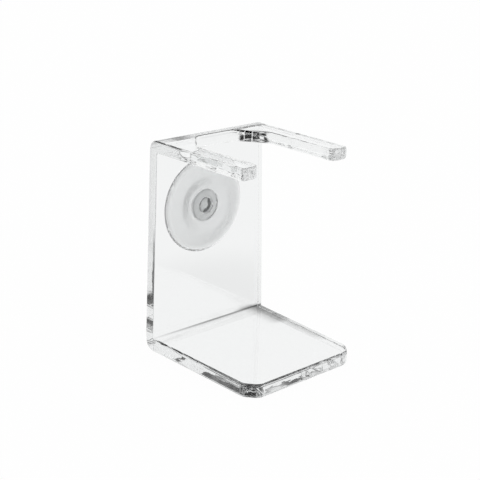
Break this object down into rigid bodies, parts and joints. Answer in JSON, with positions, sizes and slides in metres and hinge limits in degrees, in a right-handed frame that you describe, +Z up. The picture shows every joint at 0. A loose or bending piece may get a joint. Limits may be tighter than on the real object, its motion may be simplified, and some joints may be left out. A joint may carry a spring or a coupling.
{
  "type": "shaving brush stand",
  "caption": "Clear C-shaped drip stand: base, upright back and a forked top that hangs a shaving brush by its neck, with a suction cup behind.",
  "frame": {"origin": "on the table, at the middle of the stand's width and of its whole depth with the suction cup", "axes": "+Z up, +X to the right seen from the open front, which faces -Y; the suction cup faces +Y"},
  "size_m": [0.052, 0.0572, 0.0763],
  "materials": {
    "clear_acrylic": "polished clear cast acrylic",
    "soft_vinyl": "soft translucent milky vinyl, satin"
  },
  "bodies": {
    "stand": {"base_plate": "clear_acrylic", "back_plate": "clear_acrylic", "brush_fork": "clear_acrylic", "cup_stud": "clear_acrylic"},
    "cup": {"suction_cup": "soft_vinyl"}
  },
  "joints": [
    {"name": "cup_turn", "type": "hinge", "parent": "stand", "child": "cup", "pos_m": [0, 0.02585, 0.049], "axis": [0, 1, 0], "continuous": true}
  ]
}
